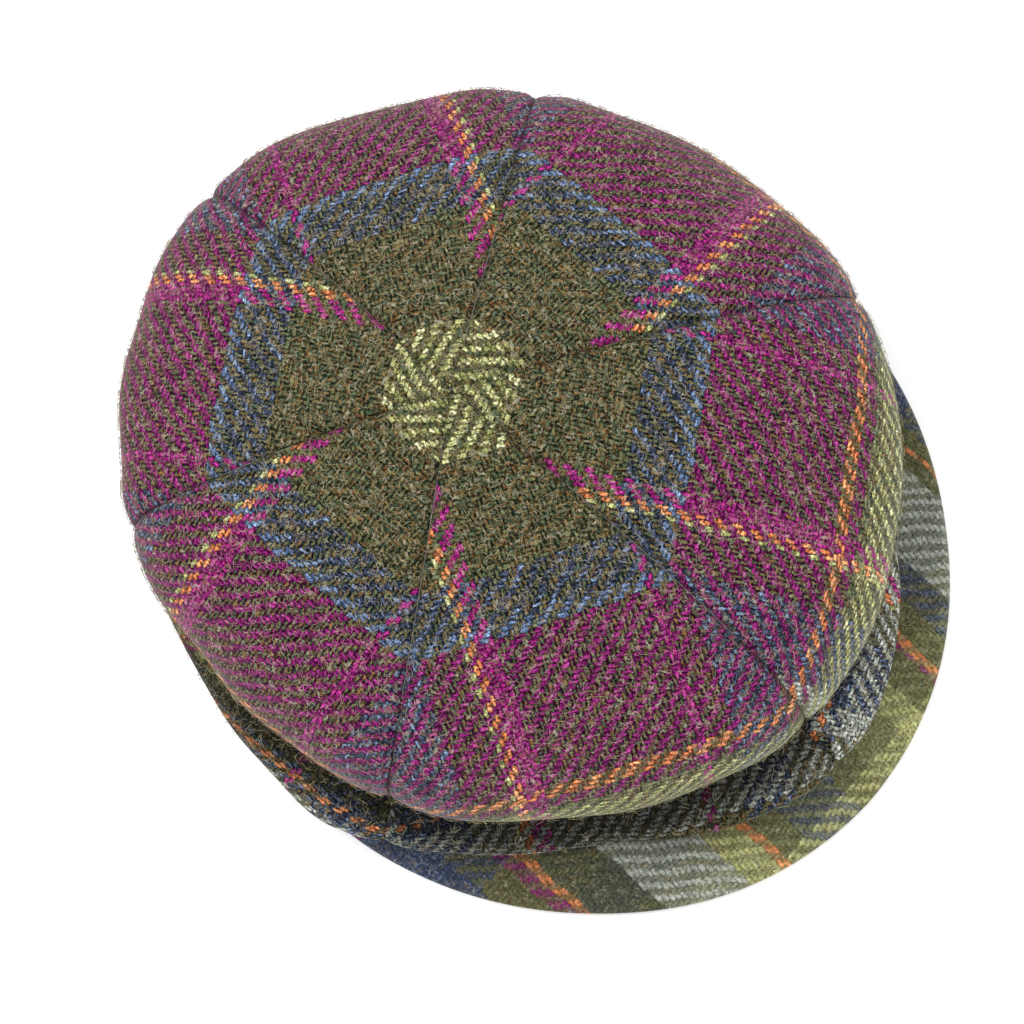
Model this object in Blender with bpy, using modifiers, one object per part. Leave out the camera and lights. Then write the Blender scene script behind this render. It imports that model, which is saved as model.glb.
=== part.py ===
"""Six-panel tweed cap with a soft peak, resting on its head band. Metres, +Z up, peak toward -Y."""

import math
from collections import namedtuple

import bpy
from mathutils import Matrix

# Overall sizes
CROWN_HEIGHT = 0.108        # floor to the tip where the six panels meet
HEAD_WIDTH = 0.168          # inside the band, side to side
HEAD_LENGTH = 0.200         # inside the band, front to back
HEAD_CENTRE_Y = -0.011      # band's middle, measured from the tip's axis
OVERHANG = 0.036            # how far the crown swells out past the band

# Walls and clearances
CROWN_WALL = 0.0018
BAND_WALL = 0.0025
PEAK_THICKNESS = 0.0040
SEAM_GAP = 0.0003           # clearance between neighbouring pieces of cloth

# Band
BAND_HEIGHT = 0.032

# Crown form
TIP_RADIUS = 0.0025         # where the panels' points stop short of each other
TIP_SHIFT = -0.0065         # the tip slumps to the left of the band's middle
DOME_SPREAD = 2.10          # above 1 the top runs in more steeply to its tip
DOME_DROP = 0.88            # below 1 the shoulder stands fuller before it turns down
TUCK_DEPTH = 0.0060         # inward crease between the shoulder and the lower roll
CORNER_SWELL = 0.0012       # seams stand out past the panels' middles at the rim
SEAM_DIP = 0.0011           # stitched seams sink below the panels beside them
SEAM_DIP_WIDTH = 0.0060
HEM_FLAT = 0.0015           # level strip where the crown's lower edge meets the band

# Peak form
PEAK_REACH = 0.0635         # band to the peak's front edge
PEAK_WRAP = 98.0            # degrees from the front to each end of the peak
PEAK_LIFT = 0.0050          # height of the peak's underside where it meets the band
PEAK_EDGE_ROUND = 0.0009

# Sections of the crown, one row per seam and one per panel's middle, at even steps round. Directions are
# degrees from the front, positive to the right. Rim and roll are shares of OVERHANG, tuck of TUCK_DEPTH
# and the three heights of CROWN_HEIGHT.
Section = namedtuple("Section", "direction rim rim_height tuck tuck_height roll roll_height")
CROWN_SECTIONS = (
    Section(0, 0.84, 0.350, 1.00, 0.260, 1.36, 0.172),
    Section(30, 1.04, 0.330, 0.97, 0.238, 1.05, 0.158),
    Section(60, 1.14, 0.345, 0.85, 0.245, 1.00, 0.152),
    Section(90, 0.99, 0.401, 0.63, 0.282, 0.93, 0.165),
    Section(120, 0.72, 0.460, 0.40, 0.320, 0.80, 0.180),
    Section(150, 0.56, 0.482, 0.26, 0.337, 0.60, 0.189),
    Section(180, 0.56, 0.475, 0.25, 0.335, 0.50, 0.190),
    Section(-150, 0.64, 0.466, 0.33, 0.328, 0.61, 0.186),
    Section(-120, 0.73, 0.455, 0.50, 0.320, 0.81, 0.180),
    Section(-90, 0.80, 0.430, 0.72, 0.305, 0.97, 0.173),
    Section(-60, 0.80, 0.400, 0.90, 0.285, 1.18, 0.162),
    Section(-30, 0.77, 0.375, 1.10, 0.265, 0.96, 0.155),
)

# Outline of the peak: a share of PEAK_WRAP and the width there as a share of PEAK_REACH
PeakRow = namedtuple("PeakRow", "turn reach")
PEAK_OUTLINE = (
    PeakRow(0.00, 1.00),
    PeakRow(0.18, 0.965),
    PeakRow(0.36, 0.88),
    PeakRow(0.56, 0.78),
    PeakRow(0.75, 0.645),
    PeakRow(0.89, 0.41),
    PeakRow(1.00, 0.06),
)

# Panels: name and the direction of the middle of each one
Panel = namedtuple("Panel", "name middle")
PANELS = (
    Panel("crown_panel_front_right", 30),
    Panel("crown_panel_right", 90),
    Panel("crown_panel_back_right", 150),
    Panel("crown_panel_back_left", -150),
    Panel("crown_panel_left", -90),
    Panel("crown_panel_front_left", -30),
)
PANEL_SPAN = 360.0 / len(PANELS)

# Mesh rows
ACROSS_PANEL = (0.0, 0.035, 0.10, 0.22, 0.36, 0.50, 0.64, 0.78, 0.90, 0.965, 1.0)
DOME_ROWS = 18
FOLD_ROWS = 5
UNDERSIDE_ROWS = 5
PEAK_COLUMNS = 38
PEAK_ROWS = 8

# Colours: red, green, blue and roughness
CLOTH_COLOURS = {
    "crown_panel_front_right": (0.115, 0.035, 0.055, 0.95),
    "crown_panel_right": (0.105, 0.035, 0.055, 0.95),
    "crown_panel_back_right": (0.080, 0.045, 0.055, 0.95),
    "crown_panel_back_left": (0.095, 0.035, 0.055, 0.95),
    "crown_panel_left": (0.100, 0.035, 0.060, 0.95),
    "crown_panel_front_left": (0.115, 0.040, 0.055, 0.95),
    "peak": (0.070, 0.085, 0.060, 0.95),
    "head_band": (0.060, 0.065, 0.035, 0.95),
}


def clear_scene():
    """Take every object out of the scene."""
    for item in list(bpy.data.objects):
        bpy.data.objects.remove(item, do_unlink=True)


def new_collection(name):
    """Return a collection of that name, linked to the scene."""
    group = bpy.data.collections.new(name)
    bpy.context.scene.collection.children.link(group)
    return group


def cloth_material(name):
    """Return the piece's own cloth material."""
    red, green, blue, roughness = CLOTH_COLOURS[name]
    material = bpy.data.materials.new(name)
    material.use_nodes = True
    shader = material.node_tree.nodes["Principled BSDF"]
    shader.inputs["Base Color"].default_value = (red, green, blue, 1.0)
    shader.inputs["Roughness"].default_value = roughness
    shader.inputs["Metallic"].default_value = 0.0
    material.diffuse_color = (red, green, blue, 1.0)
    return material


def grid_object(name, rows, closed, collection):
    """Make an object from rows of points, each row joined to the next; closed joins each row's ends."""
    width = len(rows[0])
    points = [point for row in rows for point in row]
    last = width if closed else width - 1
    faces = []
    for i in range(len(rows) - 1):
        for j in range(last):
            k = (j + 1) % width
            faces.append((i * width + j, (i + 1) * width + j, (i + 1) * width + k, i * width + k))
    mesh = bpy.data.meshes.new(name)
    mesh.from_pydata(points, [], faces)
    mesh.polygons.foreach_set("use_smooth", [True] * len(mesh.polygons))
    item = bpy.data.objects.new(name, mesh)
    item.data.materials.append(cloth_material(name))
    collection.objects.link(item)
    return item


def thicken(item, wall, outward):
    """Give an open surface a wall, on its outward side or its inward side."""
    solid = item.modifiers.new("wall", "SOLIDIFY")
    solid.thickness = wall
    solid.offset = 1.0 if outward else -1.0
    solid.use_even_offset = True
    solid.use_rim = True


def interpolate_around(column, direction):
    """Read one column of CROWN_SECTIONS at any direction, as a smooth closed curve through its rows."""
    values = [getattr(row, column) for row in CROWN_SECTIONS]
    angles = [math.radians(row.direction) for row in CROWN_SECTIONS]
    count = len(values)
    result = sum(values) / count
    for order in range(1, count // 2 + 1):
        share = (1.0 if 2 * order == count else 2.0) / count
        even = sum(v * math.cos(order * a) for v, a in zip(values, angles)) * share
        odd = sum(v * math.sin(order * a) for v, a in zip(values, angles)) * share
        result += even * math.cos(order * direction) + odd * math.sin(order * direction)
    return result


def interpolate_rows(rows, share, column):
    """Read one column of a table at any share of its first column, with a smooth curve."""
    keys = [row[0] for row in rows]
    values = [getattr(row, column) for row in rows]
    index = max(i for i, key in enumerate(keys[:-1]) if share >= key)
    step = (share - keys[index]) / (keys[index + 1] - keys[index])
    before = values[index - 1] if index > 0 else values[index]
    after = values[index + 2] if index + 2 < len(values) else values[index + 1]
    start_slope = (values[index + 1] - before) * 0.5
    end_slope = (after - values[index]) * 0.5
    square, cube = step * step, step ** 3
    return (values[index] * (2 * cube - 3 * square + 1) + start_slope * (cube - 2 * square + step)
            + values[index + 1] * (3 * square - 2 * cube) + end_slope * (cube - square))


def band_reach(direction, grow):
    """Distance from the tip's axis to the head oval grown by that much, at a direction in radians."""
    half_width = HEAD_WIDTH / 2 + grow
    half_length = HEAD_LENGTH / 2 + grow
    across, along = math.sin(direction), -math.cos(direction)
    a = (across / half_width) ** 2 + (along / half_length) ** 2
    b = -2.0 * along * HEAD_CENTRE_Y / half_length ** 2
    c = (HEAD_CENTRE_Y / half_length) ** 2 - 1.0
    return (-b + math.sqrt(b * b - 4 * a * c)) / (2 * a)


def peak_lift(turn):
    """Height of the peak's underside at the band, at an angle in radians round the band's middle."""
    share = min(abs(turn) / math.radians(PEAK_WRAP), 1.0)
    return PEAK_LIFT * math.cos(share * math.pi / 2) ** 2


def hem_height(direction):
    """Height of the crown's lower edge: clear of the peak in front, level with its top elsewhere."""
    reach = band_reach(direction, BAND_WALL)
    x, y = reach * math.sin(direction), -reach * math.cos(direction)
    turn = math.atan2(x, HEAD_CENTRE_Y - y)
    return peak_lift(turn) + PEAK_THICKNESS + SEAM_GAP


def crown_profile(direction):
    """Return the crown's outer section at a direction, from tip to lower edge, as (reach, height) pairs."""
    base = band_reach(direction, BAND_WALL)
    corner = CORNER_SWELL * math.cos(math.pi * direction / math.radians(PANEL_SPAN)) ** 2
    rim = base + OVERHANG * interpolate_around("rim", direction) + corner
    rim_height = CROWN_HEIGHT * interpolate_around("rim_height", direction)
    tuck = rim - TUCK_DEPTH * interpolate_around("tuck", direction)
    tuck_height = CROWN_HEIGHT * interpolate_around("tuck_height", direction)
    roll = base + OVERHANG * interpolate_around("roll", direction)
    roll_height = CROWN_HEIGHT * interpolate_around("roll_height", direction)
    hem = base + SEAM_GAP
    low = hem_height(direction)
    start = math.asin((TIP_RADIUS / rim) ** (1.0 / DOME_SPREAD))
    profile = []
    for i in range(DOME_ROWS + 1):
        angle = start + (math.pi / 2 - start) * i / DOME_ROWS
        fall = max(math.cos(angle), 0.0) ** DOME_DROP
        profile.append((rim * math.sin(angle) ** DOME_SPREAD, rim_height + (CROWN_HEIGHT - rim_height) * fall))
    for i in range(1, FOLD_ROWS + 1):
        ease = (1 - math.cos(math.pi * i / FOLD_ROWS)) / 2
        step = i / FOLD_ROWS
        profile.append((rim + (tuck - rim) * ease, rim_height + (tuck_height - rim_height) * step))
    for i in range(1, FOLD_ROWS + 1):
        step = i / FOLD_ROWS
        ease = math.sin(math.pi / 2 * step)
        profile.append((tuck + (roll - tuck) * ease, tuck_height + (roll_height - tuck_height) * step))
    turn = hem + HEM_FLAT
    for i in range(1, UNDERSIDE_ROWS + 1):
        angle = math.pi / 2 * i / UNDERSIDE_ROWS
        profile.append((turn + (roll - turn) * math.cos(angle), roll_height - (roll_height - low) * math.sin(angle)))
    profile.append((hem, low))
    return profile


def seam_dip(reach, offset):
    """How far the surface sinks at a distance in radians from the panel's middle."""
    edge = reach * (math.radians(PANEL_SPAN) / 2 - abs(offset))
    return SEAM_DIP * math.exp(-(edge / SEAM_DIP_WIDTH) ** 2) * min(1.0, reach / (3 * SEAM_DIP_WIDTH))


def panel_columns(middle):
    """Return the panel's directions across, in radians from its middle, with its outer section at each."""
    half = math.radians(PANEL_SPAN) / 2
    columns = []
    for share in ACROSS_PANEL:
        offset = half * (2 * share - 1)
        columns.append((offset, crown_profile(math.radians(middle) + offset)))
    return columns


def crown_panel(panel, collection):
    """Make one panel of the crown, from its point at the tip to its edge at the band."""
    columns = panel_columns(panel.middle)
    rows = []
    for i in range(len(columns[0][1])):
        row = []
        for offset, profile in columns:
            reach, height = profile[i]
            trim = math.asin(SEAM_GAP / 2 / reach)
            shrink = 1.0 - trim / (math.radians(PANEL_SPAN) / 2)
            direction = math.radians(panel.middle) + offset * shrink
            on_dome = i < DOME_ROWS
            fade = 1.0 - i / DOME_ROWS if on_dome else 0.0
            dip = seam_dip(reach, offset)
            reach_out = reach - dip * (1.0 - fade) * (i < len(profile) - UNDERSIDE_ROWS)
            slump = TIP_SHIFT * (1.0 - reach / profile[DOME_ROWS][0]) ** 2 if on_dome else 0.0
            row.append((slump + reach_out * math.sin(direction), -reach_out * math.cos(direction), height - dip * fade))
        rows.append(row)
    item = grid_object(panel.name, rows, False, collection)
    thicken(item, CROWN_WALL, False)
    return item


def head_band(collection):
    """Make the band round the head opening, a closed ring that stands on the floor."""
    half = math.radians(PANEL_SPAN) / 2
    directions = [math.radians(panel.middle) + half * (2 * share - 1)
                  for panel in PANELS for share in ACROSS_PANEL[:-1]]
    rows = []
    for height in (BAND_HEIGHT, 0.0):
        rows.append([(band_reach(d, BAND_WALL) * math.sin(d), -band_reach(d, BAND_WALL) * math.cos(d), height)
                     for d in directions])
    for height in (0.0, BAND_HEIGHT):
        rows.append([(band_reach(d, 0.0) * math.sin(d), -band_reach(d, 0.0) * math.cos(d), height)
                     for d in directions])
    rows.append(rows[0])
    item = grid_object("head_band", rows, True, collection)
    weld = item.modifiers.new("close", "WELD")
    weld.merge_threshold = 0.00005
    return item


def peak(collection):
    """Make the peak, a padded crescent that wraps the front of the band and rests on its front edge."""
    rows = []
    for j in range(PEAK_ROWS + 1):
        out = j / PEAK_ROWS
        row = []
        for i in range(PEAK_COLUMNS + 1):
            share = 2.0 * i / PEAK_COLUMNS - 1.0
            turn = math.radians(PEAK_WRAP) * share
            half_width = HEAD_WIDTH / 2 + BAND_WALL
            half_length = HEAD_LENGTH / 2 + BAND_WALL
            inner = 1.0 / math.hypot(math.sin(turn) / half_width, math.cos(turn) / half_length) + SEAM_GAP
            width = PEAK_REACH * interpolate_rows(PEAK_OUTLINE, abs(share), "reach")
            reach = inner + width * out
            height = peak_lift(turn) * (1.0 - out * out)
            row.append((reach * math.sin(turn), HEAD_CENTRE_Y - reach * math.cos(turn), height))
        rows.append(row)
    item = grid_object("peak", rows, False, collection)
    thicken(item, PEAK_THICKNESS, True)
    soften = item.modifiers.new("edge", "BEVEL")
    soften.width = PEAK_EDGE_ROUND
    soften.segments = 2
    soften.limit_method = "ANGLE"
    soften.angle_limit = math.radians(50)
    return item


def finished_points(items):
    """Return the corner points of the pieces with their walls and rounded edges."""
    depsgraph = bpy.context.evaluated_depsgraph_get()
    points = []
    for item in items:
        finished = item.evaluated_get(depsgraph)
        mesh = finished.to_mesh()
        points.extend(vertex.co.copy() for vertex in mesh.vertices)
        finished.to_mesh_clear()
    return points


def centre_on_floor(items):
    """Move the whole cap so that the middle of its box stands over the origin, at floor height."""
    points = finished_points(items)
    low = [min(point[axis] for point in points) for axis in range(3)]
    high = [max(point[axis] for point in points) for axis in range(3)]
    move = Matrix.Translation((-(low[0] + high[0]) / 2, -(low[1] + high[1]) / 2, -low[2]))
    for item in items:
        item.data.transform(move)


def main():
    """Build every piece of the cap."""
    clear_scene()
    cap = new_collection("six_panel_cap")
    items = [crown_panel(panel, cap) for panel in PANELS]
    items.append(head_band(cap))
    items.append(peak(cap))
    centre_on_floor(items)


main()
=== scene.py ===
"""Six-panel tweed cap with a soft peak, lying on a pale table and seen from above."""

import logging
import math
from dataclasses import dataclass
from enum import Enum
from typing import Sequence, Union

import bmesh
import bpy
import numpy as np
from mathutils import Matrix, Vector


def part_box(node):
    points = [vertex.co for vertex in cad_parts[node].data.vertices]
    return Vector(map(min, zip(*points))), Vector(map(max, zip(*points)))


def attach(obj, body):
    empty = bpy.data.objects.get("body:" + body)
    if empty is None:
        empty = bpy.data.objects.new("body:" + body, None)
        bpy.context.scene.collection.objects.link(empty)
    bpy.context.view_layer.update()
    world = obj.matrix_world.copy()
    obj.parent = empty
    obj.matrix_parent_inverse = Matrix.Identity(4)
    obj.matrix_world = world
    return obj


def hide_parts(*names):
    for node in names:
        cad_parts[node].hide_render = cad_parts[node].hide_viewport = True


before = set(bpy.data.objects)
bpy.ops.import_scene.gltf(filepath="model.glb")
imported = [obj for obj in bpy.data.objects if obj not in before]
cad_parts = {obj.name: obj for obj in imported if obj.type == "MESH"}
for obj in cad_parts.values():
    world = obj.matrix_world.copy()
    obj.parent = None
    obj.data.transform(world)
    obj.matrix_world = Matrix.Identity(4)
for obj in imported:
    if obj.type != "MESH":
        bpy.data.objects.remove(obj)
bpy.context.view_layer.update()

LOG = logging.getLogger("cap")
MM = 0.001
CLOTH_MAP = "cloth"
FIBRES, QUICK_FIBRES = 2700, 600
CLOTH_SEED, FIBRE_SEED, SEED_STEP = 41, 7, 31
Socket = Union[float, bpy.types.NodeSocket]
Colour = tuple[float, float, float]


# Sizes of the cap


@dataclass(frozen=True)
class Section:
    """One row of the crown's form: shares of the overhang, the tuck depth and the crown's height."""

    direction: float
    rim: float
    rim_height: float
    tuck: float
    tuck_height: float
    roll: float
    roll_height: float


@dataclass(frozen=True)
class PanelCut:
    """One panel of the crown: where it lies, how its cloth was laid before it was cut, how it wore, and how
    far its painted shade reaches.

    The middle is in degrees from the front and the shifts are in millimetres. Start and end are the panel's
    seams, in the order of rising degrees.
    """

    name: str
    middle: float
    shift_across: float
    shift_along: float
    roll_shift: float = 0.0
    worn_start: float = 0.0
    worn_end: float = 0.0
    worn_rim: float = 0.0
    shade_reach: float = 1.0


@dataclass(frozen=True)
class CapSizes:
    """Named sizes of the cap in metres and degrees: the solid part's, with finer seams, tip and crease."""

    crown_height: float = 0.108
    head_width: float = 0.168
    head_length: float = 0.200
    head_centre_y: float = -0.011
    overhang: float = 0.036
    crown_wall: float = 0.0018
    band_wall: float = 0.0025
    band_height: float = 0.032
    peak_thickness: float = 0.0040
    seam_gap: float = 0.0003
    seam_show: float = 0.00015
    tip_radius: float = 0.0010
    tip_shift: float = -0.0065
    dome_spread: float = 2.10
    dome_drop: float = 0.88
    tuck_depth: float = 0.0060
    crease_depth: float = 0.0030
    fold_ease: float = 0.8
    corner_swell: float = 0.0026
    seam_dip: float = 0.0011
    seam_dip_width: float = 0.0060
    hem_flat: float = 0.0015
    peak_reach: float = 0.0635
    peak_wrap: float = 98.0
    peak_lift: float = 0.0050


SECTIONS = (
    Section(0, 0.84, 0.350, 1.00, 0.260, 1.36, 0.172),
    Section(30, 1.04, 0.330, 0.97, 0.238, 1.05, 0.158),
    Section(60, 1.14, 0.345, 0.85, 0.245, 1.00, 0.152),
    Section(90, 0.99, 0.401, 0.63, 0.282, 0.93, 0.165),
    Section(120, 0.72, 0.460, 0.40, 0.320, 0.80, 0.180),
    Section(150, 0.56, 0.482, 0.26, 0.337, 0.60, 0.189),
    Section(180, 0.56, 0.475, 0.25, 0.335, 0.50, 0.190),
    Section(-150, 0.64, 0.466, 0.33, 0.328, 0.61, 0.186),
    Section(-120, 0.73, 0.455, 0.50, 0.320, 0.81, 0.180),
    Section(-90, 0.80, 0.430, 0.72, 0.305, 0.97, 0.173),
    Section(-60, 0.80, 0.400, 0.90, 0.285, 1.18, 0.162),
    Section(-30, 0.77, 0.375, 1.10, 0.265, 0.96, 0.155),
)
PEAK_TURNS = (0.00, 0.18, 0.36, 0.56, 0.75, 0.89, 1.00)
PEAK_REACHES = (1.00, 0.965, 0.88, 0.78, 0.645, 0.41, 0.06)
PANELS = (
    PanelCut("crown_panel_front_right", 30, -0.5, -2.0, roll_shift=12.0, worn_start=1.0, worn_end=0.3,
             worn_rim=0.36, shade_reach=0.5),
    PanelCut("crown_panel_right", 90, 3.5, 0.5, roll_shift=6.0, worn_start=0.3, worn_rim=0.36),
    PanelCut("crown_panel_back_right", 150, 1.5, 0.0),
    PanelCut("crown_panel_back_left", -150, -2.5, 0.0),
    # The left and front left panels' roll shifts also bring the dark ground yarn onto the roll, as painted
    # shade.
    PanelCut("crown_panel_left", -90, 2.0, 0.5, roll_shift=-6.0, worn_end=0.6, worn_rim=0.18,
             shade_reach=2.5),
    PanelCut("crown_panel_front_left", -30, -2.0, 1.0, roll_shift=-9.0, worn_start=0.7, worn_end=0.9,
             worn_rim=0.18, shade_reach=4.5),
)
PANEL_SPAN = math.radians(360.0 / len(PANELS))


class CapForm:
    """Works out the crown's and the peak's surfaces from the named sizes."""

    def __init__(self, sizes: CapSizes) -> None:
        """Keep the sizes and find where the solid part stands in the shared frame.

        Args:
            sizes: the cap's named sizes.
        """
        self.sizes = sizes
        low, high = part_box("head_band")
        self.origin = Vector(((low.x + high.x) / 2, (low.y + high.y) / 2 - sizes.head_centre_y, 0.0))

    def around(self, column: str, direction: np.ndarray) -> np.ndarray:
        """Read one column of SECTIONS at any direction.

        Args:
            column: name of the column.
            direction: angles from the front in radians.

        Returns:
            The column's values, as a smooth closed curve through its rows.
        """
        values = np.array([getattr(row, column) for row in SECTIONS])
        angles = np.radians([row.direction for row in SECTIONS])
        count = len(values)
        result = np.full_like(direction, values.mean())
        for order in range(1, count // 2 + 1):
            share = 1.0 if 2 * order == count else 2.0
            result = result + (values * np.cos(order * angles)).mean() * share * np.cos(order * direction)
            result = result + (values * np.sin(order * angles)).mean() * share * np.sin(order * direction)
        return result

    def band_reach(self, direction: np.ndarray, grow: float) -> np.ndarray:
        """Work out how far the head oval lies from the tip's axis.

        Args:
            direction: angles from the front in radians.
            grow: how far the oval is grown all round, in metres.

        Returns:
            The distances in metres.
        """
        half_width = self.sizes.head_width / 2 + grow
        half_length = self.sizes.head_length / 2 + grow
        centre = self.sizes.head_centre_y
        a = (np.sin(direction) / half_width) ** 2 + (np.cos(direction) / half_length) ** 2
        b = 2.0 * np.cos(direction) * centre / half_length ** 2
        c = (centre / half_length) ** 2 - 1.0
        return (-b + np.sqrt(b * b - 4 * a * c)) / (2 * a)

    def peak_lift(self, turn: np.ndarray) -> np.ndarray:
        """Return the height of the peak's underside at the band."""
        share = np.minimum(np.abs(turn) / math.radians(self.sizes.peak_wrap), 1.0)
        return self.sizes.peak_lift * np.cos(share * math.pi / 2) ** 2

    def hem_height(self, direction: np.ndarray) -> np.ndarray:
        """Work out the height of the crown's lower edge, which clears the peak.

        Args:
            direction: angles from the front in radians.

        Returns:
            The heights in metres.
        """
        reach = self.band_reach(direction, self.sizes.band_wall)
        x, y = reach * np.sin(direction), -reach * np.cos(direction)
        turn = np.arctan2(x, self.sizes.head_centre_y - y)
        return self.peak_lift(turn) + self.sizes.peak_thickness + self.sizes.seam_gap

    def crown_profiles(self, direction: np.ndarray, rows: "CrownRows") -> tuple[np.ndarray, np.ndarray]:
        """Work out the crown's outer sections from the tip to the lower edge.

        Args:
            direction: angles from the front in radians, one per section.
            rows: how many rows each stretch of a section gets.

        Returns:
            Reach and height, each with one line per row and one column per section.
        """
        s = self.sizes
        base = self.band_reach(direction, s.band_wall)
        corner = s.corner_swell * np.cos(math.pi * direction / PANEL_SPAN) ** 2
        rim = base + s.overhang * self.around("rim", direction) + corner
        rim_z = s.crown_height * self.around("rim_height", direction)
        crease = s.crease_depth * np.cos(direction / 2) ** 2
        tuck = rim - s.tuck_depth * self.around("tuck", direction) - crease
        tuck_z = s.crown_height * self.around("tuck_height", direction)
        roll = base + s.overhang * self.around("roll", direction)
        roll_z = s.crown_height * self.around("roll_height", direction)
        hem, low = base + s.seam_gap, self.hem_height(direction)
        turn = hem + s.hem_flat
        start = np.arcsin((s.tip_radius / rim) ** (1.0 / s.dome_spread))
        reach, height = [], []
        for share in np.linspace(0.0, 1.0, rows.dome + 1):
            angle = start + (math.pi / 2 - start) * share
            reach.append(rim * np.sin(angle) ** s.dome_spread)
            height.append(rim_z + (s.crown_height - rim_z) * np.maximum(np.cos(angle), 0.0) ** s.dome_drop)
        for share in np.linspace(0.0, 1.0, rows.fold + 1)[1:]:
            reach.append(rim + (tuck - rim) * (1 - math.cos(math.pi * share ** s.fold_ease)) / 2)
            height.append(rim_z + (tuck_z - rim_z) * share)
        for share in np.linspace(0.0, 1.0, rows.fold + 1)[1:]:
            reach.append(tuck + (roll - tuck) * math.sin(math.pi / 2 * share))
            height.append(tuck_z + (roll_z - tuck_z) * share)
        for share in np.linspace(0.0, 1.0, rows.underside + 1)[1:]:
            angle = math.pi / 2 * share
            reach.append(turn + (roll - turn) * math.cos(angle))
            height.append(roll_z - (roll_z - low) * math.sin(angle))
        reach.append(hem)
        height.append(low)
        return np.array(reach), np.array(height)

    def peak_inner(self, turn: np.ndarray) -> np.ndarray:
        """Work out the distance from the band's middle to the peak's inner edge.

        Args:
            turn: angles round the band's middle in radians.

        Returns:
            The distances in metres.
        """
        half_width = self.sizes.head_width / 2 + self.sizes.band_wall
        half_length = self.sizes.head_length / 2 + self.sizes.band_wall
        return 1.0 / np.hypot(np.sin(turn) / half_width, np.cos(turn) / half_length) + self.sizes.seam_gap

    def peak_width(self, share: np.ndarray) -> np.ndarray:
        """Work out the peak's width, with a smooth curve through the outline's rows.

        Args:
            share: place along the peak's wrap, from -1 to 1.

        Returns:
            The widths in metres.
        """
        keys, values = np.array(PEAK_TURNS), np.array(PEAK_REACHES)
        place = np.abs(share)
        index = np.clip(np.searchsorted(keys, place, side="right") - 1, 0, len(keys) - 2)
        step = (place - keys[index]) / (keys[index + 1] - keys[index])
        before = values[np.maximum(index - 1, 0)]
        after = values[np.minimum(index + 2, len(keys) - 1)]
        start, end = values[index], values[index + 1]
        square, cube = step ** 2, step ** 3
        curve = (start * (2 * cube - 3 * square + 1) + (end - before) * 0.5 * (cube - 2 * square + step)
                 + end * (3 * square - 2 * cube) + (after - start) * 0.5 * (cube - square))
        return self.sizes.peak_reach * curve


@dataclass(frozen=True)
class CrownRows:
    """How finely a crown panel is meshed: its rows from tip to lower edge, and its columns."""

    dome: int = 64
    fold: int = 14
    underside: int = 12
    across: int = 64


# Yarns and the check


class Yarn(Enum):
    """The yarns of the cloth, each with a main colour and two flecks, in linear light."""

    MOSS = ((0.118, 0.122, 0.056), (0.190, 0.096, 0.036), (0.032, 0.070, 0.046))
    SHADE = ((0.080, 0.088, 0.062), (0.160, 0.150, 0.100), (0.032, 0.054, 0.040))
    PLUM = ((0.235, 0.016, 0.142), (0.340, 0.046, 0.220), (0.120, 0.008, 0.078))
    MAGENTA = ((0.350, 0.016, 0.190), (0.460, 0.070, 0.290), (0.230, 0.010, 0.130))
    NAVY = ((0.052, 0.066, 0.115), (0.180, 0.250, 0.400), (0.020, 0.030, 0.044))
    SKY = ((0.110, 0.170, 0.310), (0.240, 0.340, 0.540), (0.050, 0.080, 0.150))
    ORANGE = ((0.700, 0.230, 0.085), (0.950, 0.460, 0.220), (0.450, 0.115, 0.050))
    OLIVE = ((0.205, 0.215, 0.100), (0.330, 0.310, 0.160), (0.080, 0.110, 0.060))
    LIME = ((0.450, 0.460, 0.190), (0.700, 0.700, 0.420), (0.240, 0.260, 0.080))
    PALE = ((0.430, 0.460, 0.410), (0.640, 0.660, 0.600), (0.210, 0.250, 0.230))

    @property
    def shades(self) -> tuple[Colour, Colour, Colour]:
        """Return the main colour and the two flecks."""
        return self.value

    @property
    def thin(self) -> bool:
        """Tell whether this is one of the ground yarns, spun thinner than the stripes."""
        return self in (Yarn.MOSS, Yarn.SHADE)


@dataclass(frozen=True)
class Stripe:
    """A stripe of the check: where it starts, in millimetres, and its yarn."""

    start: float
    yarn: Yarn


@dataclass(frozen=True)
class Check:
    """The stripes of one set of threads, from low to high, over a stretch in millimetres."""

    low: float
    high: float
    stripes: tuple[Stripe, ...]
    thin_cover: float = 1.0

    def cover(self, stripe: Stripe) -> float:
        """Return the share of its place that a stripe's thread fills."""
        return self.thin_cover if stripe.yarn.thin else 1.0


CROWN_WARP = Check(-85.0, 85.0, (
    Stripe(-85, Yarn.MOSS), Stripe(-64, Yarn.NAVY), Stripe(-45, Yarn.MOSS), Stripe(-36, Yarn.MAGENTA),
    Stripe(-32.5, Yarn.MOSS), Stripe(16.0, Yarn.MAGENTA), Stripe(23.2, Yarn.ORANGE), Stripe(26.3, Yarn.LIME),
    Stripe(27.9, Yarn.MOSS), Stripe(42, Yarn.NAVY), Stripe(65, Yarn.PALE), Stripe(74, Yarn.MOSS),
), thin_cover=0.50)
CROWN_WEFT = Check(0.0, 300.0, (
    Stripe(0, Yarn.LIME), Stripe(21, Yarn.MOSS), Stripe(58, Yarn.NAVY), Stripe(74.5, Yarn.SKY),
    Stripe(77.6, Yarn.PLUM), Stripe(131.8, Yarn.ORANGE), Stripe(134.9, Yarn.PLUM), Stripe(139.5, Yarn.OLIVE),
    Stripe(144, Yarn.LIME), Stripe(160, Yarn.SHADE), Stripe(167, Yarn.NAVY), Stripe(171, Yarn.ORANGE),
    Stripe(173.2, Yarn.NAVY), Stripe(177, Yarn.PALE), Stripe(202, Yarn.MOSS),
))
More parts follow.
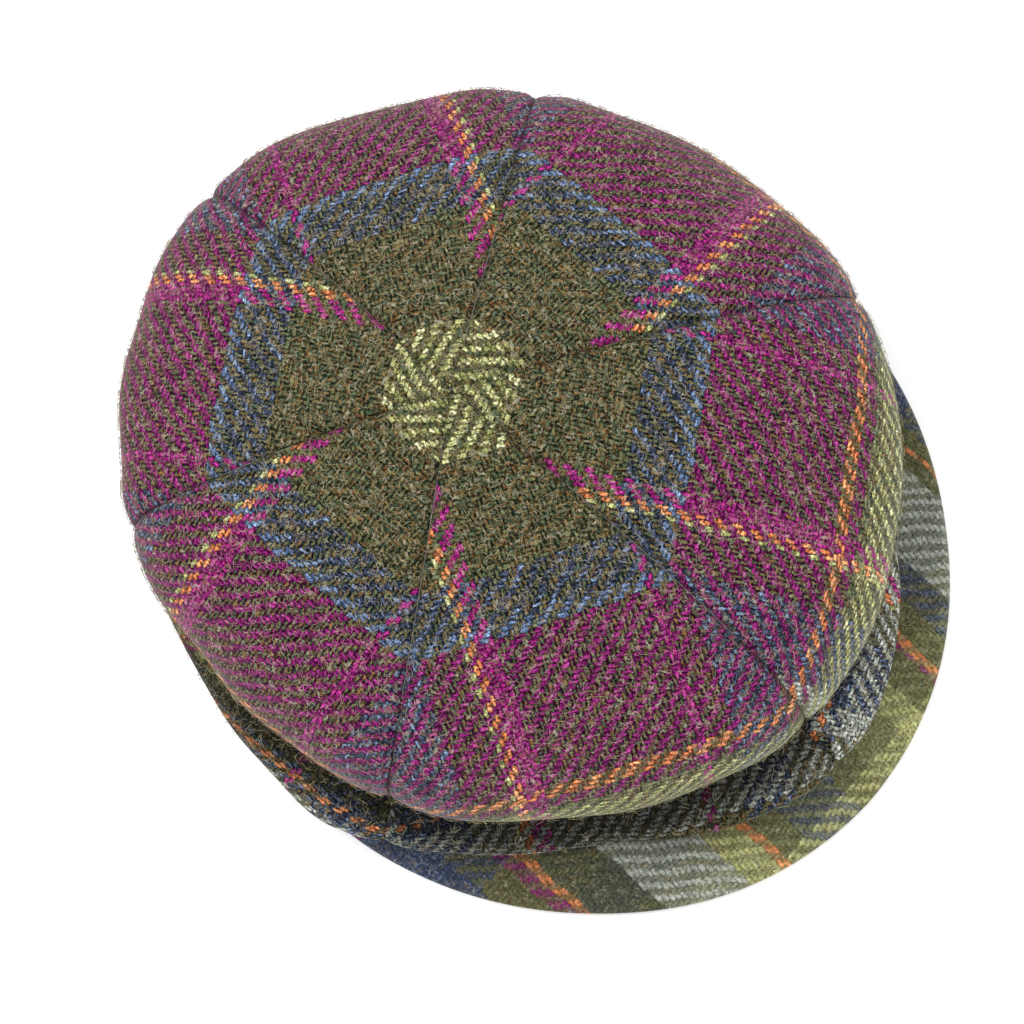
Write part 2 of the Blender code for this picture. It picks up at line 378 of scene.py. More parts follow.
PEAK_WARP = Check(-140.0, 140.0, (
    Stripe(-140, Yarn.NAVY), Stripe(-108, Yarn.MOSS), Stripe(-97, Yarn.PLUM), Stripe(-91, Yarn.ORANGE),
    Stripe(-89, Yarn.SHADE), Stripe(-72, Yarn.PALE), Stripe(-46, Yarn.LIME), Stripe(-36, Yarn.ORANGE),
    Stripe(-33, Yarn.MOSS), Stripe(-24, Yarn.NAVY), Stripe(-4, Yarn.MOSS), Stripe(9, Yarn.OLIVE),
    Stripe(24, Yarn.LIME), Stripe(33, Yarn.MOSS), Stripe(44.5, Yarn.PLUM), Stripe(47, Yarn.ORANGE),
    Stripe(50, Yarn.MOSS), Stripe(58, Yarn.NAVY), Stripe(69.5, Yarn.PALE), Stripe(94, Yarn.MOSS),
    Stripe(98, Yarn.ORANGE), Stripe(100.5, Yarn.MOSS), Stripe(106, Yarn.NAVY),
))
PEAK_WEFT = Check(-60.0, 200.0, (
    Stripe(-60, Yarn.PLUM), Stripe(60, Yarn.NAVY), Stripe(100, Yarn.MOSS), Stripe(125, Yarn.SHADE),
    Stripe(142, Yarn.MOSS), Stripe(153, Yarn.OLIVE), Stripe(169, Yarn.LIME),
))
BAND_WARP = Check(0.0, 700.0, (Stripe(0, Yarn.SHADE),))
BAND_WEFT = Check(-20.0, 80.0, (Stripe(-20, Yarn.MOSS),))


# Shader nodes


class NodeSheet:
    """Adds nodes to one node tree and links them."""

    def __init__(self, tree: bpy.types.NodeTree) -> None:
        """Keep the tree that the nodes go into.

        Args:
            tree: a shader or Geometry Nodes tree.
        """
        self.tree = tree

    def add(self, kind: str, **settings: object) -> bpy.types.Node:
        """Add a node and set its properties.

        Args:
            kind: the node's type name.
            settings: its properties by name.

        Returns:
            The node.
        """
        node = self.tree.nodes.new(kind)
        for name, value in settings.items():
            setattr(node, name, value)
        return node

    def feed(self, target: bpy.types.NodeSocket, value: object) -> None:
        """Link a socket to the target, or set the target's own value.

        Args:
            target: the input that is fed.
            value: an output socket or a plain value.
        """
        if isinstance(value, bpy.types.NodeSocket):
            self.tree.links.new(value, target)
        else:
            target.default_value = value

    def math(self, operation: str, *values: Socket, clamp: bool = False) -> bpy.types.NodeSocket:
        """Add a math node.

        Args:
            operation: the math node's operation.
            values: sockets or numbers for its inputs.
            clamp: True holds the result between 0 and 1.

        Returns:
            The result.
        """
        node = self.add("ShaderNodeMath", operation=operation, use_clamp=clamp)
        for socket, value in zip(node.inputs, values):
            self.feed(socket, value)
        return node.outputs[0]

    def vector(self, operation: str, *values: object) -> bpy.types.NodeSocket:
        """Add a vector math node.

        Args:
            operation: the vector math node's operation.
            values: sockets or vectors for its inputs.

        Returns:
            The result's vector.
        """
        node = self.add("ShaderNodeVectorMath", operation=operation)
        for socket, value in zip(node.inputs, values):
            self.feed(socket, value)
        return node.outputs["Vector"]

    def scale(self, vector: object, factor: Socket) -> bpy.types.NodeSocket:
        """Multiply a vector by one factor.

        Args:
            vector: a socket or a vector.
            factor: a socket or a number.

        Returns:
            The longer vector.
        """
        node = self.add("ShaderNodeVectorMath", operation="SCALE")
        self.feed(node.inputs[0], vector)
        self.feed(node.inputs["Scale"], factor)
        return node.outputs["Vector"]

    def mix(self, factor: Socket, first: object, second: object, blend: str = "MIX") -> bpy.types.NodeSocket:
        """Mix two colours.

        Args:
            factor: the second colour's share.
            first: a socket or a colour.
            second: a socket or a colour.
            blend: how the second goes over the first.

        Returns:
            The mixed colour.
        """
        node = self.add("ShaderNodeMix", data_type="RGBA", blend_type=blend)
        self.feed(node.inputs["Factor"], factor)
        for name, value in (("A", first), ("B", second)):
            socket = next(s for s in node.inputs if s.name == name and s.type == "RGBA")
            self.feed(socket, value)
        return next(s for s in node.outputs if s.type == "RGBA")

    def blend(self, factor: Socket, first: Socket, second: Socket) -> bpy.types.NodeSocket:
        """Mix two numbers.

        Args:
            factor: the second number's share.
            first: a socket or a number.
            second: a socket or a number.

        Returns:
            The mixed number.
        """
        node = self.add("ShaderNodeMix", data_type="FLOAT")
        self.feed(node.inputs[0], factor)
        self.feed(node.inputs[2], first)
        self.feed(node.inputs[3], second)
        return node.outputs[0]

    def blend_vector(self, factor: Socket, first: Socket, second: Socket) -> bpy.types.NodeSocket:
        """Mix two vectors.

        Args:
            factor: the second vector's share.
            first: a vector's socket.
            second: a vector's socket.

        Returns:
            The mixed vector.
        """
        node = self.add("ShaderNodeMix", data_type="VECTOR")
        ends = [socket for socket in node.inputs if socket.type == "VECTOR" and socket.name in ("A", "B")]
        self.feed(node.inputs["Factor"], factor)
        self.feed(ends[0], first)
        self.feed(ends[1], second)
        return next(socket for socket in node.outputs if socket.type == "VECTOR")

    def split(self, vector: object) -> tuple[bpy.types.NodeSocket, ...]:
        """Split a vector into its three numbers.

        Args:
            vector: a socket or a vector.

        Returns:
            The x, y and z sockets.
        """
        node = self.add("ShaderNodeSeparateXYZ")
        self.feed(node.inputs[0], vector)
        return tuple(node.outputs)

    def join(self, x: Socket, y: Socket, z: Socket) -> bpy.types.NodeSocket:
        """Join three numbers into a vector.

        Args:
            x: a socket or a number.
            y: a socket or a number.
            z: a socket or a number.

        Returns:
            The vector.
        """
        node = self.add("ShaderNodeCombineXYZ")
        for socket, value in zip(node.inputs, (x, y, z)):
            self.feed(socket, value)
        return node.outputs[0]

    def noise(self, vector: object, scale: float, detail: float = 2.0,
              distortion: float = 0.0) -> bpy.types.Node:
        """Add a noise texture.

        Args:
            vector: where the noise is read.
            scale: how fine it is.
            detail: how many finer layers it has.
            distortion: how far its lines curl.

        Returns:
            The noise node.
        """
        node = self.add("ShaderNodeTexNoise")
        self.feed(node.inputs["Vector"], vector)
        node.inputs["Scale"].default_value = scale
        node.inputs["Detail"].default_value = detail
        node.inputs["Distortion"].default_value = distortion
        return node

    def remap(self, value: Socket, low: float, high: float, to_low: float = 0.0,
              to_high: float = 1.0) -> bpy.types.NodeSocket:
        """Map a number from one range to another, held at both ends, with a smooth step.

        Args:
            value: the number.
            low: low end of its range.
            high: high end of its range.
            to_low: what the low end becomes.
            to_high: what the high end becomes.

        Returns:
            The mapped number.
        """
        node = self.add("ShaderNodeMapRange", interpolation_type="SMOOTHSTEP")
        for socket, number in zip(node.inputs, (value, low, high, to_low, to_high)):
            self.feed(socket, number)
        return node.outputs[0]

    def step(self, kind: str, source: Socket, **inputs: object) -> bpy.types.NodeSocket:
        """Add a node that carries on from another one.

        Args:
            kind: the node's type name.
            source: what its first input takes.
            inputs: a value for each further input by name.

        Returns:
            Its first output.
        """
        node = self.add(kind)
        self.feed(node.inputs[0], source)
        for name, value in inputs.items():
            self.feed(node.inputs[name.replace("_", " ")], value)
        return node.outputs[0]

    def group(self, tree: bpy.types.NodeTree, **inputs: object) -> bpy.types.Node:
        """Add a node group and feed its inputs.

        Args:
            tree: the group's tree.
            inputs: a value for each input by name.

        Returns:
            The group's node.
        """
        node = self.add("ShaderNodeGroup")
        node.node_tree = tree
        for name, value in inputs.items():
            self.feed(node.inputs[name.replace("_", " ")], value)
        return node


def new_group(name: str, inputs: Sequence[tuple[str, str]],
              outputs: Sequence[tuple[str, str]]) -> bpy.types.NodeTree:
    """Make a shader node group.

    Args:
        name: the group's name.
        inputs: name and socket kind of each input.
        outputs: name and socket kind of each output.

    Returns:
        The group, with its input and output nodes.
    """
    tree = bpy.data.node_groups.new(name, "ShaderNodeTree")
    for label, kind in inputs:
        tree.interface.new_socket(label, in_out="INPUT", socket_type=kind)
    for label, kind in outputs:
        tree.interface.new_socket(label, in_out="OUTPUT", socket_type=kind)
    tree.nodes.new("NodeGroupInput")
    tree.nodes.new("NodeGroupOutput")
    return tree


def new_material(name: str, roughness: float,
                 specular: float) -> tuple[bpy.types.Material, bpy.types.Node]:
    """Make a material with a plain shader.

    Args:
        name: the material's name.
        roughness: how rough its surface is.
        specular: how much it mirrors.

    Returns:
        The material and its shader.
    """
    material = bpy.data.materials.new(name)
    material.use_nodes = True
    shader = material.node_tree.nodes["Principled BSDF"]
    shader.inputs["Roughness"].default_value = roughness
    shader.inputs["Specular IOR Level"].default_value = specular
    return material, shader


FLOAT, VECTOR, COLOUR = "NodeSocketFloat", "NodeSocketVector", "NodeSocketColor"


@dataclass(frozen=True)
class CurlLayer:
    """One layer of thin curly lines: where its noise is read, how fine it is and how wide its lines are."""

    shift: float
    scale: float
    width: float
    distortion: float


@dataclass
class TweedKit:
    """Builds the node groups that every tweed material shares.

    The twill's threads lie over two and under two. Sway, wander and ragged say how far they bend, in threads,
    each a finer bend than the one before. A noise is given as its scale, detail and distortion, and a span as
    the two values that a soft step runs between.
    """

    nap_layers: Sequence[CurlLayer] = (CurlLayer(0.0, 400.0, 0.040, 0.8), CurlLayer(2.3, 560.0, 0.050, 0.8))
    hair_layers: Sequence[CurlLayer] = (CurlLayer(0.0, 340.0, 0.034, 1.1), CurlLayer(3.7, 520.0, 0.042, 1.1))
    sway: float = 0.8
    repeat: float = 4.0
    float_length: float = 2.0
    float_bow: float = 0.42
    fibre_stretch: float = 0.35
    fleck_noise: Sequence[float] = (1.9, 3.0, 0.6)
    fleck_span: Sequence[float] = (0.54, 0.62)
    deep_noise: Sequence[float] = (2.6, 3.0, 0.8)
    deep_span: Sequence[float] = (0.47, 0.58)
    deep_offset: Sequence[float] = (17.3, 41.7, 5.1)
    region_noise: Sequence[float] = (130.0, 2.0)
    region_share: float = 0.30
    grain_noise: Sequence[float] = (900.0, 1.0, 0.4)
    grain_span: Sequence[float] = (0.40, 0.60)
    hair_span: Sequence[float] = (0.50, 0.58)
    thread: float = 1.55 * MM
    wander: float = 0.38
    ragged: float = 0.27
    # The tone's floor is painted shade in the hollows; its gain on the curls is a painted glint.
    hollow_shade: float = 0.25
    glint: float = 1.18
    grain: float = 0.65

    def __post_init__(self) -> None:
        """Build the shared groups once."""
        self.twill = self._twill_group()
        self.marl = self._marl_group()
        self.hairs = self._hair_group()

    def _twill_group(self) -> bpy.types.NodeTree:
        """Build the two-over-two twill: which set is over, and each set's height and place.

        Returns:
            The group.
        """
        tree = new_group("twill weave", [("Cloth", VECTOR)],
                         [("Warp over", FLOAT), ("Warp height", FLOAT), ("Weft height", FLOAT),
                          ("Warp width", FLOAT), ("Warp place", FLOAT), ("Weft place", FLOAT),
                          ("Warp fibre", VECTOR), ("Weft fibre", VECTOR)])
        sheet = NodeSheet(tree)
        source = tree.nodes["Group Input"].outputs[0]
        sink = tree.nodes["Group Output"].inputs
        across, along, _ = sheet.split(self._wandering(sheet, source))
        column, row = sheet.math("FLOOR", across), sheet.math("FLOOR", along)
        turn = sheet.math("FLOORED_MODULO", sheet.math("SUBTRACT", column, row), self.repeat)
        sheet.feed(sink["Warp over"], sheet.math("LESS_THAN", turn, self.float_length - 0.5))
        warp_width = sheet.math("SUBTRACT", sheet.math("MULTIPLY", sheet.math("FRACT", across), 2.0), 1.0)
        weft_width = sheet.math("SUBTRACT", sheet.math("MULTIPLY", sheet.math("FRACT", along), 2.0), 1.0)
        warp_run = sheet.math("ADD", sheet.math("SUBTRACT", along, column), self.float_length)
        warp_run = sheet.math("FLOORED_MODULO", warp_run, self.repeat)
        weft_run = sheet.math("SUBTRACT", sheet.math("SUBTRACT", across, row), 1.0)
        weft_run = sheet.math("FLOORED_MODULO", weft_run, self.repeat)
        sheet.feed(sink["Warp height"], self._float_height(sheet, warp_width, warp_run))
        sheet.feed(sink["Weft height"], self._float_height(sheet, weft_width, weft_run))
        sheet.feed(sink["Warp width"], sheet.math("ABSOLUTE", warp_width))
        for name, index in (("Warp place", column), ("Weft place", row)):
            sheet.feed(sink[name], sheet.math("MULTIPLY", sheet.math("ADD", index, 0.5), self.thread / MM))
        slow_along = sheet.math("MULTIPLY", along, self.fibre_stretch)
        slow_across = sheet.math("MULTIPLY", across, self.fibre_stretch)
        sheet.feed(sink["Warp fibre"], sheet.join(across, slow_along, column))
        sheet.feed(sink["Weft fibre"], sheet.join(slow_across, along, row))
        return tree

    def _wandering(self, sheet: NodeSheet, source: Socket) -> bpy.types.NodeSocket:
        """Bend the cloth's threads the way that soft yarns wander.

        Args:
            sheet: the tree that the nodes go into.
            source: the place on the cloth in metres.

        Returns:
            The place counted in threads.
        """
        place: object = sheet.scale(source, 1.0 / self.thread)
        bends = ((90.0, 0.0, self.sway), (620.0, 1.0, self.wander), (2600.0, 0.0, self.ragged))
        for scale, detail, amount in bends:
            field = sheet.noise(source, scale, detail).outputs["Color"]
            bend = sheet.scale(sheet.vector("SUBTRACT", field, (0.5, 0.5, 0.5)), amount * 2)
            place = sheet.vector("ADD", place, bend)
        return place

    def _float_height(self, sheet: NodeSheet, width: Socket, run: Socket) -> bpy.types.NodeSocket:
        """Work out the height of one float, round across its thread and bowed along its run.

        Args:
            sheet: the tree that the nodes go into.
            width: place across the thread, from -1 to 1.
            run: place along the float, in threads.

        Returns:
            The height, from 0 to 1.
        """
        inside = sheet.math("SUBTRACT", 1.0, sheet.math("POWER", width, 2.0), clamp=True)
        round_part = sheet.math("SQRT", inside)
        bow = sheet.math("POWER", sheet.math("SUBTRACT", run, self.float_length), 2.0)
        lasting = sheet.math("SUBTRACT", 1.0, sheet.math("MULTIPLY", bow, self.float_bow))
        return sheet.math("MULTIPLY", round_part, lasting)

    def _marl_group(self) -> bpy.types.NodeTree:
        """Build a yarn's look: a main colour, two flecks and bright curls over dark hollows, partly the
        fibres' grain and partly painted glint and shade.

        Returns:
            The group.
        """
        tree = new_group("marled yarn", [("Fibre", VECTOR), ("Cloth", VECTOR), ("Main", COLOUR),
                                         ("Fleck", COLOUR), ("Deep", COLOUR)],
                         [("Colour", COLOUR), ("Nap", FLOAT)])
        sheet = NodeSheet(tree)
        inputs = tree.nodes["Group Input"].outputs
        light = sheet.noise(inputs["Fibre"], *self.fleck_noise).outputs[0]
        elsewhere = sheet.vector("ADD", inputs["Fibre"], self.deep_offset)
        dark = sheet.noise(elsewhere, *self.deep_noise).outputs[0]
        colour = sheet.mix(sheet.remap(dark, *self.deep_span), inputs["Main"], inputs["Deep"])
        region = sheet.math("SUBTRACT", sheet.noise(inputs["Cloth"], *self.region_noise).outputs[0], 0.5)
        light = sheet.math("ADD", light, sheet.math("MULTIPLY", region, self.region_share))
        colour = sheet.mix(sheet.remap(light, *self.fleck_span), colour, inputs["Fleck"])
        grain = sheet.remap(sheet.noise(inputs["Cloth"], *self.grain_noise).outputs[0], *self.grain_span)
        grain = sheet.math("MULTIPLY", grain, self.grain)
        lines = [self._curls(sheet, inputs["Cloth"], layer) for layer in self.nap_layers]
        curls = sheet.math("ADD", sheet.math("MAXIMUM", *lines), grain)
        # Partly the fibres' own grain and partly painted light: painted shade in the hollows, a painted glint
        # on the curls.
        tone = sheet.math("ADD", self.hollow_shade, sheet.math("MULTIPLY", curls, self.glint))
        colour = sheet.mix(1.0, colour, sheet.join(tone, tone, tone), "MULTIPLY")
        sheet.feed(tree.nodes["Group Output"].inputs["Colour"], colour)
        sheet.feed(tree.nodes["Group Output"].inputs["Nap"], curls)
        return tree

    @staticmethod
    def _curls(sheet: NodeSheet, cloth: Socket, layer: CurlLayer) -> bpy.types.NodeSocket:
        """Draw thin curly lines: where a noise passes through its middle value.

        Args:
            sheet: the tree that the nodes go into.
            cloth: the place on the cloth in metres.
            layer: how the lines lie, and how fine and wide they are.

        Returns:
            A field that is 1 on the fibres and 0 in the hollows between them.
        """
        moved = sheet.vector("ADD", cloth, (layer.shift, layer.shift * 0.6, layer.shift))
        field = sheet.noise(moved, layer.scale, 1.0, layer.distortion).outputs[0]
        from_middle = sheet.math("ABSOLUTE", sheet.math("SUBTRACT", field, 0.5))
        return sheet.remap(from_middle, 0.0, layer.width, 1.0, 0.0)

    def _hair_group(self) -> bpy.types.NodeTree:
        """Build a mask of thin curly fibres that lie on the cloth.

        Returns:
            The group.
        """
        tree = new_group("loose fibres", [("Cloth", VECTOR)], [("Mask", FLOAT)])
        sheet = NodeSheet(tree)
        source = tree.nodes["Group Input"].outputs[0]
        lines = []
        for layer in self.hair_layers:
            offset = (layer.shift + 1.3, layer.shift * 0.6 + 2.9, layer.shift)
            patch = sheet.noise(sheet.vector("ADD", source, offset), layer.scale * 0.9, 0.0).outputs[0]
            line = self._curls(sheet, source, layer)
            lines.append(sheet.math("MULTIPLY", line, sheet.remap(patch, *self.hair_span)))
        sheet.feed(tree.nodes["Group Output"].inputs["Mask"], sheet.math("MAXIMUM", *lines))
        return tree


@dataclass(frozen=True)
class TweedFinish:
    """A checked tweed cloth: its stripes both ways, how it takes the light, and the shade and sheen painted
    into its colour.
    """

    name: str
    warp: Check
    weft: Check
    kit: TweedKit
    roughness: float = 0.92
    sheen: float = 0.015
    sheen_roughness: float = 0.55
    sheen_tint: Colour = (0.86, 0.84, 0.74)
    specular: float = 0.04
    fibre_light: float = 0.70
    # Painted shade in the gaps between the threads.
    gap_shade: float = 0.14
    clarity: float = 1.0
    fleck: float = 1.0
    calm: float = 0.0
    calm_tone: float = 0.76
    relief: float = 0.55
    # Strength of the painted sheen at grazing angles.
    painted_edge_sheen: float = 0.26
    strand_gold: Colour = (0.34, 0.22, 0.085)
    strand_pale: Colour = (0.52, 0.49, 0.36)
    worn_colour: Colour = (0.42, 0.45, 0.42)
    # Colour of the painted sheen at grazing angles.
    painted_sheen_colour: Colour = (0.50, 0.50, 0.40)
    worn_share: float = 0.75
    # How far the painted shade in the folds and seams darkens the cloth.
    painted_shade_share: float = 0.85
    nap_height: float = 0.70
    relief_depth: float = 0.00055
    # The painted thread shade runs from the gap height to the top height; top light is the painted highlight
    # on the tops.
    gap_height: float = 0.30
    top_height: float = 0.88
    top_light: float = 1.10

    def material(self) -> bpy.types.Material:
        """Build the cloth's material.

        Returns:
            The material.
        """
        material, shader = new_material(self.name, self.roughness, self.specular)
        sheet = NodeSheet(material.node_tree)
        shader.inputs["Sheen Weight"].default_value = self.sheen
        shader.inputs["Sheen Roughness"].default_value = self.sheen_roughness
        shader.inputs["Sheen Tint"].default_value = (*self.sheen_tint, 1.0)
        cloth = sheet.add("ShaderNodeUVMap", uv_map=CLOTH_MAP).outputs[0]
        colour, height, nap = self.weave(sheet, cloth)
        shown = self._shaded(sheet, self._weathered(sheet, colour, cloth))
        sheet.feed(shader.inputs["Base Color"], shown)
        bump = sheet.add("ShaderNodeBump")
        bump.inputs["Strength"].default_value = self.relief
        bump.inputs["Distance"].default_value = self.relief_depth
        relief = sheet.math("ADD", height, sheet.math("MULTIPLY", nap, self.nap_height))
        sheet.feed(bump.inputs["Height"], relief)
        sheet.feed(shader.inputs["Normal"], bump.outputs[0])
        return material

    def _weathered(self, sheet: NodeSheet, colour: Socket, cloth: Socket) -> bpy.types.NodeSocket:
        """Lay loose fibres and worn nap over the woven colour.

        Args:
            sheet: the tree that the nodes go into.
            colour: the woven colour.
            cloth: place on the flat cloth in metres.

        Returns:
            The colour with its fibres and its wear.
        """
        fibres = sheet.group(self.kit.hairs, Cloth=cloth).outputs["Mask"]
        tint = sheet.noise(cloth, 420.0, 0.0).outputs[0]
        strand = sheet.mix(sheet.remap(tint, 0.44, 0.58), (*self.strand_gold, 1.0), (*self.strand_pale, 1.0))
        shown = sheet.mix(sheet.math("MULTIPLY", fibres, self.fibre_light), colour, strand)
        wear = sheet.add("ShaderNodeAttribute", attribute_name="wear").outputs["Fac"]
        patchy = sheet.remap(sheet.noise(cloth, 700.0, 2.0).outputs[0], 0.38, 0.62)
        worn = sheet.math("MULTIPLY", sheet.math("POWER", wear, 0.8), patchy)
        return sheet.mix(sheet.math("MULTIPLY", worn, self.worn_share), shown, (*self.worn_colour, 1.0))

    def _shaded(self, sheet: NodeSheet, shown: Socket) -> bpy.types.NodeSocket:
        """Paint a sheen where the cloth turns away, standing for the light its nap catches, and paint shade
        deep in its folds.

        Args:
            sheet: the tree that the nodes go into.
            shown: the cloth's colour.

        Returns:
            The colour with its painted sheen and painted shade.
        """
        # Painted sheen: the colour pales towards where the surface turns from view.
        facing = sheet.add("ShaderNodeLayerWeight")
        facing.inputs["Blend"].default_value = 0.5
        rim_light = sheet.math("MULTIPLY", sheet.math("POWER", facing.outputs["Facing"], 3.0), self.painted_edge_sheen)
        shown = sheet.mix(rim_light, shown, (*self.painted_sheen_colour, 1.0))
        # Painted shade in the folds and seams, read from the panels' shade attribute.
        painted_shade = sheet.add("ShaderNodeAttribute", attribute_name="painted_shade").outputs["Fac"]
        light = sheet.math("SUBTRACT", 1.0, sheet.math("MULTIPLY", painted_shade, self.painted_shade_share))
        return sheet.mix(1.0, shown, sheet.join(light, light, light), "MULTIPLY")

    def weave(self, sheet: NodeSheet, cloth: Socket) -> tuple[bpy.types.NodeSocket, ...]:
        """Add the woven colour, with painted shade between the threads and a painted highlight on their tops.

        Args:
            sheet: the tree that the nodes go into.
            cloth: place on the flat cloth in metres.

        Returns:
            The colour, the threads' height and the fibres' nap.
        """
        twill = sheet.group(self.kit.twill, Cloth=cloth).outputs
        warp, cover = self._stripes(sheet, self.warp, twill["Warp place"])
        weft, _ = self._stripes(sheet, self.weft, twill["Weft place"])
        inside = sheet.math("LESS_THAN", twill["Warp width"], cover)
        on_top = sheet.math("MULTIPLY", twill["Warp over"], inside)
        height = sheet.blend(on_top, twill["Weft height"], twill["Warp height"])
        fibre = sheet.blend_vector(on_top, twill["Weft fibre"], twill["Warp fibre"])
        half = (1.0 - self.clarity) / 2
        share = sheet.math("ADD", half, sheet.math("MULTIPLY", on_top, self.clarity))
        shades = [sheet.mix(share, b, a) for a, b in zip(warp, weft)]
        shades = [shades[0]] + [sheet.mix(self.fleck, shades[0], shade) for shade in shades[1:]]
        marl = sheet.group(self.kit.marl, Fibre=fibre, Cloth=cloth, Main=shades[0], Fleck=shades[1],
                           Deep=shades[2]).outputs
        # Painted shade in the gaps between the threads and a painted highlight on their tops, by the threads'
        # height.
        shade = sheet.remap(height, self.gap_height, self.top_height, self.gap_shade, self.top_light)
        spun = sheet.mix(self.calm, marl["Colour"], sheet.scale(shades[0], self.calm_tone))
        colour = sheet.mix(1.0, spun, sheet.join(shade, shade, shade), "MULTIPLY")
        return colour, height, marl["Nap"]

    @staticmethod
    def _stripes(sheet: NodeSheet, check: Check,
                 place: Socket) -> tuple[list[bpy.types.NodeSocket], bpy.types.NodeSocket]:
        """Look up the stripe at a place in millimetres.

        Args:
            sheet: the tree that the nodes go into.
            check: the stripes.
            place: the place in millimetres.

        Returns:
            The stripe's three shades, and the share of its place that its thread fills.
        """
        spread = sheet.math("DIVIDE", sheet.math("SUBTRACT", place, check.low), check.high - check.low)
        shades = []
        for index in range(3):
            ramp = sheet.add("ShaderNodeValToRGB")
            ramp.color_ramp.interpolation = "CONSTANT"
            marks = ramp.color_ramp.elements
            while len(marks) > 1:
                marks.remove(marks[-1])
            marks[0].position = 0.0
            marks[0].color = (*check.stripes[0].yarn.shades[index], check.cover(check.stripes[0]))
            for stripe in check.stripes[1:]:
                mark = marks.new((stripe.start - check.low) / (check.high - check.low))
                mark.color = (*stripe.yarn.shades[index], check.cover(stripe))
            sheet.feed(ramp.inputs[0], spread)
            shades.append(ramp.outputs["Color"])
        return shades, ramp.outputs["Alpha"]


@dataclass(frozen=True)
class FibreFinish:
    """Loose fibres that stand off a cloth and keep its colour, only paler."""

    cloth: TweedFinish
    pale: float = 0.25
    palest: float = 0.85
    roughness: float = 0.75
    specular: float = 0.08
    gold: Colour = (0.24, 0.16, 0.050)
    cream: Colour = (0.54, 0.48, 0.30)

    def material(self) -> bpy.types.Material:
        """Build the fibres' material, coloured by the cloth under each root.

        Returns:
            The material.
        """
        material, shader = new_material(self.cloth.name + " fibres", self.roughness, self.specular)
        sheet = NodeSheet(material.node_tree)
        root = sheet.add("ShaderNodeAttribute", attribute_name="root_cloth").outputs["Vector"]
        colour, _, _ = self.cloth.weave(sheet, root)
        tone = sheet.add("ShaderNodeAttribute", attribute_name="root_tone").outputs["Fac"]
        target = sheet.mix(sheet.remap(tone, 0.35, 0.95), (*self.gold, 1.0), (*self.cream, 1.0))
        mixed = sheet.mix(sheet.remap(tone, 0.0, 1.0, self.pale, self.palest), colour, target)
        sheet.feed(shader.inputs["Base Color"], mixed)
        return material


# Meshes


def surface_mesh(name: str, points: np.ndarray, cloth: np.ndarray, closed: bool = False) -> bpy.types.Mesh:
    """Make a mesh from a grid of points.

    Args:
        name: the mesh's name.
        points: rows by columns by three, in metres.
        cloth: rows by columns by two, the place of each point on the flat cloth.
        closed: True joins the last column to the first.

    Returns:
        The mesh, smooth, with the cloth map.
    """
    rows, columns = points.shape[:2]
    i, j = np.meshgrid(np.arange(rows - 1), np.arange(columns if closed else columns - 1), indexing="ij")
    k = (j + 1) % columns
    corners = np.stack([i * columns + j, (i + 1) * columns + j, (i + 1) * columns + k, i * columns + k], -1)
    mesh = bpy.data.meshes.new(name)
    mesh.from_pydata(points.reshape(-1, 3).tolist(), [], corners.reshape(-1, 4).tolist())
    layer = mesh.uv_layers.new(name=CLOTH_MAP)
    layer.data.foreach_set("uv", cloth.reshape(-1, 2)[corners.reshape(-1)].ravel())
    mesh.polygons.foreach_set("use_smooth", [True] * len(mesh.polygons))
    return mesh


def grid_normals(points: np.ndarray) -> np.ndarray:
    """Work out the outward normal at each point of a grid.

    Args:
        points: rows by columns by three, in metres.

    Returns:
        The unit normals, in the same grid.
    """
    down = np.gradient(points, axis=0)
    across = np.gradient(points, axis=1)
    normal = np.cross(down, across)
    return normal / np.maximum(np.linalg.norm(normal, axis=2, keepdims=True), 1e-12)


def finished(item: bpy.types.Object) -> bpy.types.Object:
    """Turn an object with modifiers into a plain mesh object.

    Args:
        item: the object.

    Returns:
        The same object, with its final mesh.
    """
    depsgraph = bpy.context.evaluated_depsgraph_get()
    mesh = bpy.data.meshes.new_from_object(item.evaluated_get(depsgraph), depsgraph=depsgraph)
    item.modifiers.clear()
    item.data = mesh
    return item


def place_object(name: str, mesh: bpy.types.Mesh) -> bpy.types.Object:
    """Link a mesh to the scene as an object.

    Args:
        name: the object's name.
        mesh: its mesh.

    Returns:
        The object.
    """
    item = bpy.data.objects.new(name, mesh)
    bpy.context.scene.collection.objects.link(item)
    return item


def stand_for(item: bpy.types.Object, node: str) -> None:
    """Put a piece in the place of one solid of the part.

    Args:
        item: the finished piece.
        node: the solid's name.
    """
    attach(item, "root")
    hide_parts(node)


def area_of(points: np.ndarray) -> float:
    """Add up the area of a grid of points.

    Args:
        points: rows by columns by three, in metres.

    Returns:
        The area in square metres.
    """
    first = np.cross(points[1:, :-1] - points[:-1, :-1], points[:-1, 1:] - points[:-1, :-1])
    second = np.cross(points[1:, :-1] - points[1:, 1:], points[:-1, 1:] - points[1:, 1:])
    return float((np.linalg.norm(first, axis=2) + np.linalg.norm(second, axis=2)).sum() / 2)


# The crown


